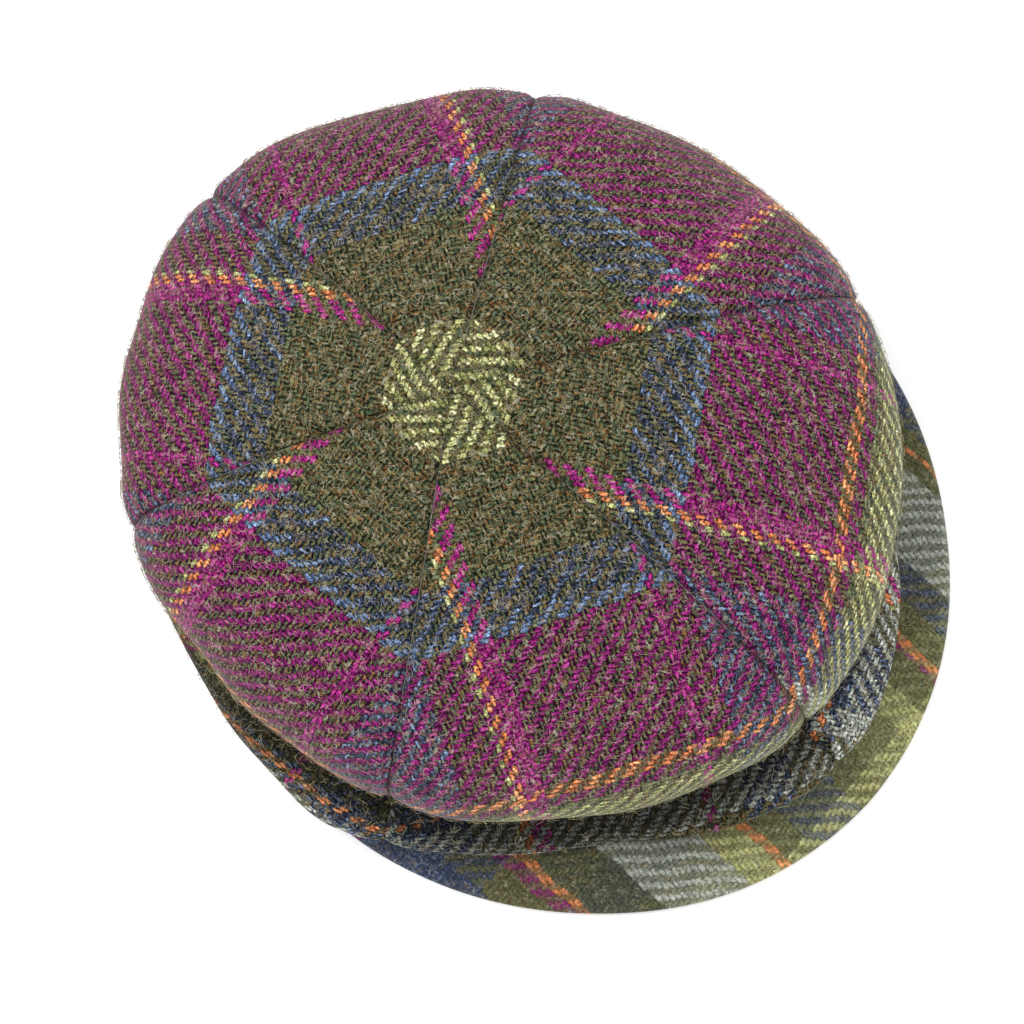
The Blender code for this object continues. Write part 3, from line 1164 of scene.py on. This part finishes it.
@dataclass
class CrownPanel:
    """One woven panel of the crown, with its turned-in seams and soft swells.

    Lengths are in metres. The worn rows are a middle row below the rim and how far the wear spreads from it.
    Deep start and grow are shares of the fold where the painted shade of the tuck begins and grows, and deep
    soft is the share of that painted shade that fades out.
    """

    form: CapForm
    cut: PanelCut
    finish: bpy.types.Material
    seed: int
    rows: CrownRows = CrownRows()
    seam_crowding: float = 0.65
    lip_drop: float = 0.0010
    lip_width: float = 0.0013
    pucker: float = 0.00022
    pucker_pitch: float = 0.0105
    pucker_width: float = 0.009
    pucker_start: float = 0.003
    swell: float = 0.00055
    swell_waves: int = 7
    swell_total: float = 2.6
    swell_edge: float = 0.018
    roll_start: float = 150 * MM
    roll_stretch: float = 25 * MM
    worn_power: int = 5
    worn_corner_rows: tuple[float, float] = (3.0, 5.0)
    worn_rim_rows: tuple[float, float] = (1.0, 8.0)
    deep_start: float = 0.55
    deep_grow: float = 0.3
    deep_soft: float = 0.8
    seam_shade: float = 0.38
    tuck_shade: float = 0.0042
    shade_turn: float = 18.0

    def offsets(self) -> np.ndarray:
        """Space the panel's columns, closer together near its seams.

        Returns:
            Their directions from the panel's middle in radians.
        """
        share = np.linspace(-1.0, 1.0, self.rows.across + 1)
        bent = np.sin(share * math.pi / 2)
        return PANEL_SPAN / 2 * ((1.0 - self.seam_crowding) * share + self.seam_crowding * bent)

    def surface(self) -> tuple[np.ndarray, np.ndarray]:
        """Work out the panel's outer surface.

        Returns:
            The outer points, and their places on the flat cloth.
        """
        sizes = self.form.sizes
        half = PANEL_SPAN / 2
        offset = self.offsets()
        middle = math.radians(self.cut.middle)
        reach, height = self.form.crown_profiles(middle + offset, self.rows)
        trim = np.arcsin(sizes.seam_show / 2 / reach)
        direction = middle + offset * (1.0 - trim / half)
        rim = reach[self.rows.dome]
        slump = sizes.tip_shift * np.maximum(1.0 - reach / rim, 0.0) ** 2
        slump[self.rows.dome:] = 0.0
        points = np.stack([slump + reach * np.sin(direction), -reach * np.cos(direction), height], -1)
        steps = np.hypot(np.diff(reach, axis=0), np.diff(height, axis=0))
        length = reach[:1] + np.concatenate([np.zeros_like(reach[:1]), np.cumsum(steps, axis=0)])
        angle = offset * reach / length
        across, along = -length * np.sin(angle), length * np.cos(angle)
        edge = reach * (half - np.abs(offset))
        points = points + grid_normals(points) * self.relief(across, along, edge, reach)[..., None]
        # Past the rim the stripes are stepped along, to lie on the roll where the real cap's do; on the left
        # and front left panels the step also brings the dark ground yarn onto the roll, as painted shade for
        # the crevice under the rim.
        past_rim = np.clip((along - self.roll_start) / self.roll_stretch, 0.0, 1.0)
        along = along - (self.cut.shift_along + self.cut.roll_shift * past_rim) * MM
        cloth = np.stack([across - self.cut.shift_across * MM, along], -1)
        return points + np.array(self.form.origin), cloth

    def wear(self) -> np.ndarray:
        """Work out how worn the nap is: most where the rim meets a seam.

        Returns:
            The wear at each point, from 0 to 1.
        """
        side = np.linspace(-1.0, 1.0, self.rows.across + 1)
        ends = self.cut.worn_start * np.clip(-side, 0, 1) ** self.worn_power
        ends = ends + self.cut.worn_end * np.clip(side, 0, 1) ** self.worn_power
        below = np.arange(self.rows.dome + 2 * self.rows.fold + self.rows.underside + 2) - self.rows.dome
        row, spread = self.worn_corner_rows
        near_rim = np.exp(-((below - row) / spread) ** 2)
        row, spread = self.worn_rim_rows
        round_rim = self.cut.worn_rim * np.exp(-((below - row) / spread) ** 2)
        return np.maximum(near_rim[:, None] * ends[None, :], round_rim[:, None])

    def painted_shade(self) -> np.ndarray:
        """Work out the painted shade at each point: darkening in the tuck in front, and along the seams.

        Returns:
            The painted shade at each point, from 0 to 1.
        """
        half = PANEL_SPAN / 2
        offset = self.offsets()
        direction = math.radians(self.cut.middle) + offset
        reach, _ = self.form.crown_profiles(direction, self.rows)
        below = np.arange(len(reach))[:, None] - self.rows.dome
        shade = self.tuck_shade * self.cut.shade_reach
        past_rim = reach - reach[self.rows.dome]
        into_fold = below / self.rows.fold - self.deep_start
        in_tuck = np.clip(into_fold / self.deep_grow, 0, 1)
        in_tuck = in_tuck * np.clip((shade - past_rim) / (shade * self.deep_soft), 0, 1)
        in_front = np.cos(direction / 2 + math.radians(self.shade_turn)) ** 2
        in_tuck = in_tuck * (below < 2 * self.rows.fold) * in_front[None, :]
        in_seam = self.seam_shade * np.exp(-(reach * (half - np.abs(offset)) / self.lip_width) ** 2)
        return np.clip(np.maximum(in_tuck, in_seam), 0.0, 1.0)

    def relief(self, across: np.ndarray, along: np.ndarray, edge: np.ndarray,
               reach: np.ndarray) -> np.ndarray:
        """Work out how far each point stands off the plain form.

        Args:
            across: place across the flat cloth in metres.
            along: place along the flat cloth in metres.
            edge: distance to the nearer seam in metres.
            reach: distance from the tip's axis in metres.

        Returns:
            The seam dips, puckers and soft swells together, in metres.
        """
        sizes = self.form.sizes
        rng = np.random.default_rng(self.seed)
        near_tip = np.minimum(1.0, reach / (3 * sizes.seam_dip_width))
        dip = sizes.seam_dip * np.exp(-(edge / sizes.seam_dip_width) ** 2) * near_tip
        lip = self.lip_drop * np.exp(-(edge / self.lip_width) ** 2) * near_tip
        # Two waves out of step, so that the puckers along a seam don't repeat.
        waves = np.sin(along / self.pucker_pitch * 2 * math.pi + rng.uniform(0, 6))
        waves = waves + 0.6 * np.sin(along / self.pucker_pitch * 3.7 + rng.uniform(0, 6))
        beside_seam = np.exp(-(edge / self.pucker_width) ** 2) * np.minimum(1.0, edge / self.pucker_start)
        puckers = self.pucker * waves * beside_seam * near_tip
        soft = np.zeros_like(across)
        for _ in range(self.swell_waves):
            turn, pitch = rng.uniform(0, math.pi), rng.uniform(0.030, 0.065)
            run = across * math.cos(turn) + along * math.sin(turn)
            soft += np.sin(run / pitch * 2 * math.pi + rng.uniform(0, 6.3))
        soft = soft * self.swell / self.swell_total * np.clip(edge / self.swell_edge, 0.0, 1.0) ** 1.5
        return soft + puckers - dip - lip

    def build(self) -> bpy.types.Object:
        """Make the panel with its wall.

        Returns:
            The finished piece.
        """
        points, cloth = self.surface()
        mesh = surface_mesh(self.cut.name + "_cloth", points, cloth)
        mesh.attributes.new("wear", "FLOAT", "POINT").data.foreach_set("value", self.wear().ravel())
        # Painted shade: darkening in the front tuck and along the seams.
        mesh.attributes.new("painted_shade", "FLOAT", "POINT").data.foreach_set("value", self.painted_shade().ravel())
        mesh.materials.append(self.finish)
        item = place_object(self.cut.name + "_cloth", mesh)
        wall = item.modifiers.new("wall", "SOLIDIFY")
        wall.thickness = self.form.sizes.crown_wall
        wall.offset = -1.0
        wall.use_even_offset = False
        finished(item)
        stand_for(item, self.cut.name)
        return item


# The peak and the band


@dataclass
class Peak:
    """The padded peak: upper and under cloth with a soft rounded edge."""

    form: CapForm
    finish: bpy.types.Material
    columns: int = 180
    rows: int = 40
    edge_round: float = 0.0032
    lean: float = 0.045
    edge_crowding: float = 0.85
    swell: float = 0.0004
    swell_edge: float = 0.010
    swell_turns: tuple[float, float] = (95.0, 120.0)
    swell_starts: tuple[float, float] = (0.6, 1.1)

    def section(self) -> tuple[np.ndarray, np.ndarray]:
        """Work out the closed section of the padded cloth.

        Returns:
            Each row's place out from the band, and its place through the thickness.
        """
        out = np.linspace(0.0, 1.0, self.rows + 1) ** self.edge_crowding
        place = np.concatenate([out, out[::-1][1:], out[:1]])
        side = np.concatenate([np.zeros(self.rows + 1), np.ones(self.rows), np.zeros(1)])
        return place, side

    def build(self) -> bpy.types.Object:
        """Make the peak, rounded along its edge.

        Returns:
            The finished piece.
        """
        sizes = self.form.sizes
        share = np.linspace(-1.0, 1.0, self.columns + 1)
        turn = math.radians(sizes.peak_wrap) * share
        inner = self.form.peak_inner(turn)
        width = self.form.peak_width(share) * (1.0 + self.lean * np.sin(turn))
        place, side = self.section()
        reach = inner[None, :] + width[None, :] * place[:, None]
        base = self.form.peak_lift(turn)[None, :] * (1.0 - place[:, None] ** 2)
        to_edge = width[None, :] * (1.0 - place[:, None])
        taper = np.clip(to_edge / self.edge_round, 0.0, 1.0)
        half = sizes.peak_thickness / 2 * np.sqrt(1.0 - (1.0 - taper) ** 2)
        height = base + sizes.peak_thickness / 2 + half * (2 * side[:, None] - 1.0)
        x = reach * np.sin(turn)[None, :]
        y = sizes.head_centre_y - reach * np.cos(turn)[None, :]
        ripple = np.sin(x * self.swell_turns[0] + self.swell_starts[0]) * self.swell
        ripple = ripple * np.sin(y * self.swell_turns[1] + self.swell_starts[1])
        ripple = ripple * np.clip(to_edge / self.swell_edge, 0.0, 1.0)
        ripple = ripple * side[:, None] * np.clip(place[:, None] * 3, 0, 1)
        points = np.stack([x, y, height + ripple], -1)
        cloth = np.stack([x, -y], -1)
        mesh = surface_mesh("peak_cloth", points + np.array(self.form.origin), cloth)
        mesh.materials.append(self.finish)
        self._close(mesh)
        item = place_object("peak_cloth", mesh)
        stand_for(item, "peak")
        LOG.info("peak_cloth: %d faces", len(mesh.polygons))
        return item

    @staticmethod
    def _close(mesh: bpy.types.Mesh) -> None:
        """Join the section's first and last rows and close the two ends.

        Args:
            mesh: the peak's mesh.
        """
        shell = bmesh.new()
        shell.from_mesh(mesh)
        bmesh.ops.remove_doubles(shell, verts=shell.verts, dist=1e-7)
        edges = [edge for edge in shell.edges if edge.is_boundary]
        bmesh.ops.holes_fill(shell, edges=edges, sides=0)
        bmesh.ops.recalc_face_normals(shell, faces=shell.faces)
        shell.to_mesh(mesh)
        shell.free()


@dataclass
class HeadBand:
    """The ring round the head opening, with soft rounded edges."""

    form: CapForm
    finish: bpy.types.Material
    columns: int = 240
    edge_share: float = 0.3

    def build(self) -> bpy.types.Object:
        """Make the band.

        Returns:
            The finished piece.
        """
        sizes = self.form.sizes
        direction = np.linspace(0.0, 2 * math.pi, self.columns, endpoint=False)
        outer = self.form.band_reach(direction, sizes.band_wall)
        inner = self.form.band_reach(direction, 0.0)
        top, middle, soft = sizes.band_height, sizes.band_height / 2, sizes.band_wall * self.edge_share
        near, far = self.edge_share, 1.0 - self.edge_share
        loop = [(1.0, top - soft), (1.0, middle), (1.0, soft), (far, 0.0), (near, 0.0), (0.0, soft),
                (0.0, middle), (0.0, top - soft), (near, top), (far, top), (1.0, top - soft)]
        rows, cloth = [], []
        run = direction * (sizes.head_width + sizes.head_length) / 4
        for share, height in loop:
            reach = inner + (outer - inner) * share
            rows.append(np.stack([reach * np.sin(direction), -reach * np.cos(direction),
                                  np.full_like(reach, height)], -1))
            cloth.append(np.stack([run, np.full_like(run, height)], -1))
        points = np.array(rows) + np.array(self.form.origin)
        mesh = surface_mesh("head_band_cloth", points, np.array(cloth), closed=True)
        mesh.materials.append(self.finish)
        item = place_object("head_band_cloth", mesh)
        weld = item.modifiers.new("close", "WELD")
        weld.merge_threshold = 1e-6
        finished(item)
        stand_for(item, "head_band")
        LOG.info("head_band_cloth: %d faces", len(item.data.polygons))
        return item


# Loose fibres


@dataclass
class LooseFibres:
    """Fine curly fibres that stand off a cloth, scattered over its outer surface.

    Radius, lengths, curl, lift and root gap are in metres. Most fibres are short, the more so the higher
    short_power is, and each is drawn through as many points as stops says.
    """

    count: int
    seed: int
    finish: bpy.types.Material
    radius: float = 0.000062
    shortest: float = 0.0012
    longest: float = 0.0040
    curl: float = 0.0034
    lift: float = 0.0007
    stops: int = 7
    sides: int = 3
    short_power: float = 2.2
    root_gap: float = 0.00005
    arch: float = 2.4
    arch_end: float = 1.25
    swirl_scale: float = 640.0
    swirl_own: float = 0.37
    lie_flat: float = 0.8
    bend_power: float = 0.6

    def build(self, name: str, points: np.ndarray, cloth: np.ndarray) -> bpy.types.Object:
        """Scatter the fibres over a grid of points and turn them into a mesh.

        Args:
            name: the piece's name.
            points: rows by columns by three, in metres.
            cloth: the place of each point on the flat cloth.

        Returns:
            The finished piece.
        """
        mesh = surface_mesh(name, points, cloth)
        item = place_object(name, mesh)
        tree = self._tree(self.count / area_of(points))
        modifier = item.modifiers.new("fibres", "NODES")
        modifier.node_group = tree
        for socket in tree.interface.items_tree:
            if socket.item_type == "SOCKET" and socket.in_out == "INPUT" and socket.name == "Seed":
                modifier[socket.identifier] = self.seed
        finished(item)
        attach(item, "root")
        LOG.info("%s: %d faces", name, len(item.data.polygons))
        return item

    def _tree(self, density: float) -> bpy.types.NodeTree:
        """Build the Geometry Nodes tree that scatters and curls the fibres.

        Args:
            density: fibres to a square metre.

        Returns:
            The tree.
        """
        tree = bpy.data.node_groups.new("loose fibres on cloth", "GeometryNodeTree")
        tree.interface.new_socket("Geometry", in_out="INPUT", socket_type="NodeSocketGeometry")
        tree.interface.new_socket("Seed", in_out="INPUT", socket_type="NodeSocketInt")
        tree.interface.new_socket("Geometry", in_out="OUTPUT", socket_type="NodeSocketGeometry")
        sheet = NodeSheet(tree)
        entry, leave = sheet.add("NodeGroupInput"), sheet.add("NodeGroupOutput")
        seed = entry.outputs["Seed"]
        scatter = sheet.add("GeometryNodeDistributePointsOnFaces")
        sheet.feed(scatter.inputs["Mesh"], entry.outputs["Geometry"])
        sheet.feed(scatter.inputs["Density"], density)
        sheet.feed(scatter.inputs["Seed"], seed)
        held = self._store(sheet, scatter.outputs["Points"], "root_normal", "FLOAT_VECTOR",
                           scatter.outputs["Normal"])
        place = sheet.add("GeometryNodeInputPosition").outputs[0]
        held = self._store(sheet, held, "root_place", "FLOAT_VECTOR", place)
        flat = sheet.add("GeometryNodeInputNamedAttribute", data_type="FLOAT_VECTOR")
        flat.inputs["Name"].default_value = CLOTH_MAP
        held = self._store(sheet, held, "root_cloth", "FLOAT_VECTOR", flat.outputs["Attribute"])
        held = self._store(sheet, held, "root_run", "FLOAT_VECTOR",
                           self._random(sheet, "FLOAT_VECTOR", (-1.0,) * 3, (1.0,) * 3, seed, 1))
        held = self._store(sheet, held, "root_tone", "FLOAT", self._random(sheet, "FLOAT", 0.0, 1.0, seed, 2))
        line = sheet.add("GeometryNodeCurvePrimitiveLine")
        line.inputs["End"].default_value = (0.0, 0.0, 0.001)
        ring = sheet.add("GeometryNodeCurvePrimitiveCircle")
        ring.inputs["Resolution"].default_value = self.sides
        ring.inputs["Radius"].default_value = self.radius
        fibre = sheet.step("GeometryNodeResampleCurve", line.outputs[0], Count=self.stops)
        fibres = sheet.step("GeometryNodeInstanceOnPoints", held, Instance=fibre)
        fibres = sheet.step("GeometryNodeRealizeInstances", fibres)
        fibres = sheet.step("GeometryNodeSetPosition", fibres, Position=self._curl(sheet))
        fibres = sheet.step("GeometryNodeCurveToMesh", fibres, Profile_Curve=ring.outputs[0], Fill_Caps=True)
        fibres = sheet.step("GeometryNodeRealizeInstances", fibres)
        fibres = sheet.step("GeometryNodeSetMaterial", fibres, Material=self.finish)
        sheet.feed(leave.inputs[0], fibres)
        return tree

    def _curl(self, sheet: NodeSheet) -> bpy.types.NodeSocket:
        """Work out each fibre point's place: along its run, lifted off the cloth and curled.

        Args:
            sheet: the tree that the nodes go into.

        Returns:
            The place.
        """
        along = sheet.add("GeometryNodeSplineParameter").outputs["Factor"]
        root, normal = self._read(sheet, "root_place"), self._read(sheet, "root_normal")
        run, tone = self._read(sheet, "root_run"), self._read(sheet, "root_tone", "FLOAT")
        flat = sheet.vector("NORMALIZE", sheet.vector("CROSS_PRODUCT", normal, run))
        spread = sheet.math("POWER", tone, self.short_power)
        spread = sheet.math("MULTIPLY", spread, self.longest - self.shortest)
        length = sheet.math("ADD", self.shortest, spread)
        path = sheet.scale(flat, sheet.math("MULTIPLY", along, length))
        bow = sheet.math("MULTIPLY", along, sheet.math("SUBTRACT", self.arch_end, along))
        rise = sheet.math("ADD", self.root_gap, sheet.math("MULTIPLY", bow, self.lift * self.arch))
        raised = sheet.scale(normal, rise)
        start = sheet.vector("ADD", sheet.scale(run, self.swirl_own), sheet.vector("ADD", root, path))
        swirl = sheet.noise(start, self.swirl_scale, 1.0).outputs["Color"]
        swirl = sheet.vector("SUBTRACT", swirl, (0.5, 0.5, 0.5))
        lean = sheet.add("ShaderNodeVectorMath", operation="DOT_PRODUCT")
        sheet.feed(lean.inputs[0], swirl)
        sheet.feed(lean.inputs[1], normal)
        upright = sheet.scale(normal, sheet.math("MULTIPLY", lean.outputs["Value"], self.lie_flat))
        level = sheet.vector("SUBTRACT", swirl, upright)
        grown = sheet.math("POWER", along, self.bend_power)
        bent = sheet.scale(level, sheet.math("MULTIPLY", grown, self.curl))
        return sheet.vector("ADD", sheet.vector("ADD", root, path), sheet.vector("ADD", raised, bent))

    @staticmethod
    def _store(sheet: NodeSheet, geometry: Socket, name: str, kind: str,
               value: Socket) -> bpy.types.NodeSocket:
        """Store a named value on each point.

        Args:
            sheet: the tree that the nodes go into.
            geometry: the points.
            name: the value's name.
            kind: the value's data type.
            value: the value.

        Returns:
            The points that hold it.
        """
        node = sheet.add("GeometryNodeStoreNamedAttribute", data_type=kind, domain="POINT")
        sheet.feed(node.inputs["Geometry"], geometry)
        node.inputs["Name"].default_value = name
        sheet.feed(node.inputs["Value"], value)
        return node.outputs[0]

    @staticmethod
    def _read(sheet: NodeSheet, name: str, kind: str = "FLOAT_VECTOR") -> bpy.types.NodeSocket:
        """Read a named value.

        Args:
            sheet: the tree that the nodes go into.
            name: the value's name.
            kind: its data type.

        Returns:
            The value.
        """
        node = sheet.add("GeometryNodeInputNamedAttribute", data_type=kind)
        node.inputs["Name"].default_value = name
        return node.outputs["Attribute"]

    @staticmethod
    def _random(sheet: NodeSheet, kind: str, low: object, high: object, seed: Socket,
                extra: int) -> bpy.types.NodeSocket:
        """Draw a random value per point.

        Args:
            sheet: the tree that the nodes go into.
            kind: the value's data type.
            low: its lowest value.
            high: its highest value.
            seed: the fibres' seed.
            extra: tells this draw from the others.

        Returns:
            The value.
        """
        node = sheet.add("FunctionNodeRandomValue", data_type=kind)
        wanted = "VECTOR" if kind == "FLOAT_VECTOR" else "VALUE"
        ends = [s for s in node.inputs if s.name in ("Min", "Max") and s.type == wanted and s.enabled]
        sheet.feed(ends[0], low)
        sheet.feed(ends[1], high)
        sheet.feed(node.inputs["Seed"], sheet.math("ADD", seed, float(extra * SEED_STEP)))
        return next(s for s in node.outputs if s.type == wanted and s.enabled)


# Studio


@dataclass(frozen=True)
class Lamp:
    """A square lamp that shines at the cap: its place and size in metres and its power in watts."""

    name: str
    place: tuple[float, float, float]
    power: float
    size: float


@dataclass(frozen=True)
class Studio:
    """The pale table, the soft light and the camera."""

    form: CapForm
    eye: tuple[float, float, float] = (-0.1734, -0.1731, 0.9740)
    azimuth: float = -0.846
    tilt: float = 0.228
    lens: float = 103.7
    sensor: float = 36.0
    floor_half: float = 6.0
    floor_white: float = 0.93
    floor_glow: float = 0.22
    floor_roughness: float = 0.9
    room_light: float = 0.95
    lamps: Sequence[Lamp] = (Lamp("lamp_above", (-0.5, 0.9, 1.5), 14.0, 1.1),
                             Lamp("lamp_side", (1.3, -0.5, 1.1), 5.0, 0.9))
    clip: tuple[float, float] = (0.01, 50.0)

    def build(self) -> None:
        """Add the floor, the lights and the camera."""
        self._floor()
        self._lights()
        self._camera()

    def _floor(self) -> None:
        """Add a plain pale floor under the cap."""
        mesh = bpy.data.meshes.new("table_top")
        size = self.floor_half
        corners = [(-size, -size, 0), (size, -size, 0), (size, size, 0), (-size, size, 0)]
        mesh.from_pydata(corners, [], [(0, 1, 2, 3)])
        material, shader = new_material("table_white", self.floor_roughness, 0.0)
        shader.inputs["Base Color"].default_value = (self.floor_white,) * 3 + (1.0,)
        shader.inputs["Emission Color"].default_value = (1.0, 1.0, 1.0, 1.0)
        shader.inputs["Emission Strength"].default_value = self.floor_glow
        mesh.materials.append(material)
        floor = place_object("table_top", mesh)

    def _lights(self) -> None:
        """Add even white surroundings and two large soft lamps, the stronger one from behind."""
        world = bpy.data.worlds.new("soft_room")
        world.use_nodes = True
        background = world.node_tree.nodes["Background"]
        background.inputs["Color"].default_value = (1.0, 1.0, 1.0, 1.0)
        background.inputs["Strength"].default_value = self.room_light
        bpy.context.scene.world = world
        bpy.context.scene.view_settings.view_transform = "Standard"
        for lamp in self.lamps:
            light = bpy.data.lights.new(lamp.name, "AREA")
            light.energy = lamp.power
            light.size = lamp.size
            item = bpy.data.objects.new(lamp.name, light)
            item.location = lamp.place
            item.rotation_mode = "QUATERNION"
            item.rotation_quaternion = (-Vector(lamp.place)).to_track_quat("-Z", "Y")
            bpy.context.scene.collection.objects.link(item)

    def _camera(self) -> None:
        """Add the camera at the photo's angle."""
        back = Vector((math.sin(self.azimuth) * math.sin(self.tilt),
                       -math.cos(self.azimuth) * math.sin(self.tilt), math.cos(self.tilt)))
        right = Vector((math.cos(self.azimuth), math.sin(self.azimuth), 0.0))
        up = back.cross(right)
        camera = bpy.data.cameras.new("camera")
        camera.lens = self.lens
        camera.sensor_width = self.sensor
        camera.clip_start, camera.clip_end = self.clip
        item = bpy.data.objects.new("camera", camera)
        turn = Matrix((right, up, back)).transposed().to_4x4()
        item.matrix_world = Matrix.Translation(Vector(self.eye) + self.form.origin) @ turn
        bpy.context.scene.collection.objects.link(item)
        bpy.context.scene.camera = item


def main() -> None:
    """Build the cap, its fibres and the studio."""
    logging.basicConfig(level=logging.INFO, format="%(name)s %(message)s")
    form = CapForm(CapSizes())
    kit = TweedKit()
    crown_cloth = TweedFinish("crown_tweed", CROWN_WARP, CROWN_WEFT, kit)
    peak_cloth = TweedFinish("peak_tweed", PEAK_WARP, PEAK_WEFT, kit, fibre_light=0.35, gap_shade=0.62,
                             clarity=0.55, fleck=0.60, calm=0.55, relief=0.35, painted_edge_sheen=0.10)
    band_cloth = TweedFinish("band_tweed", BAND_WARP, BAND_WEFT, kit)
    crown_material = crown_cloth.material()
    fibre_material = FibreFinish(crown_cloth).material()
    amount = FIBRES
    for index, cut in enumerate(PANELS):
        panel = CrownPanel(form, cut, crown_material, seed=CLOTH_SEED + index)
        panel.build()
        points, cloth = panel.surface()
        bare = -panel.rows.underside - 2
        fibres = LooseFibres(amount, FIBRE_SEED + index, fibre_material)
        fibres.build(cut.name + "_fibres", points[2:bare], cloth[2:bare])
    Peak(form, peak_cloth.material()).build()
    HeadBand(form, band_cloth.material()).build()
    Studio(form).build()


if __name__ == "__main__":
    main()
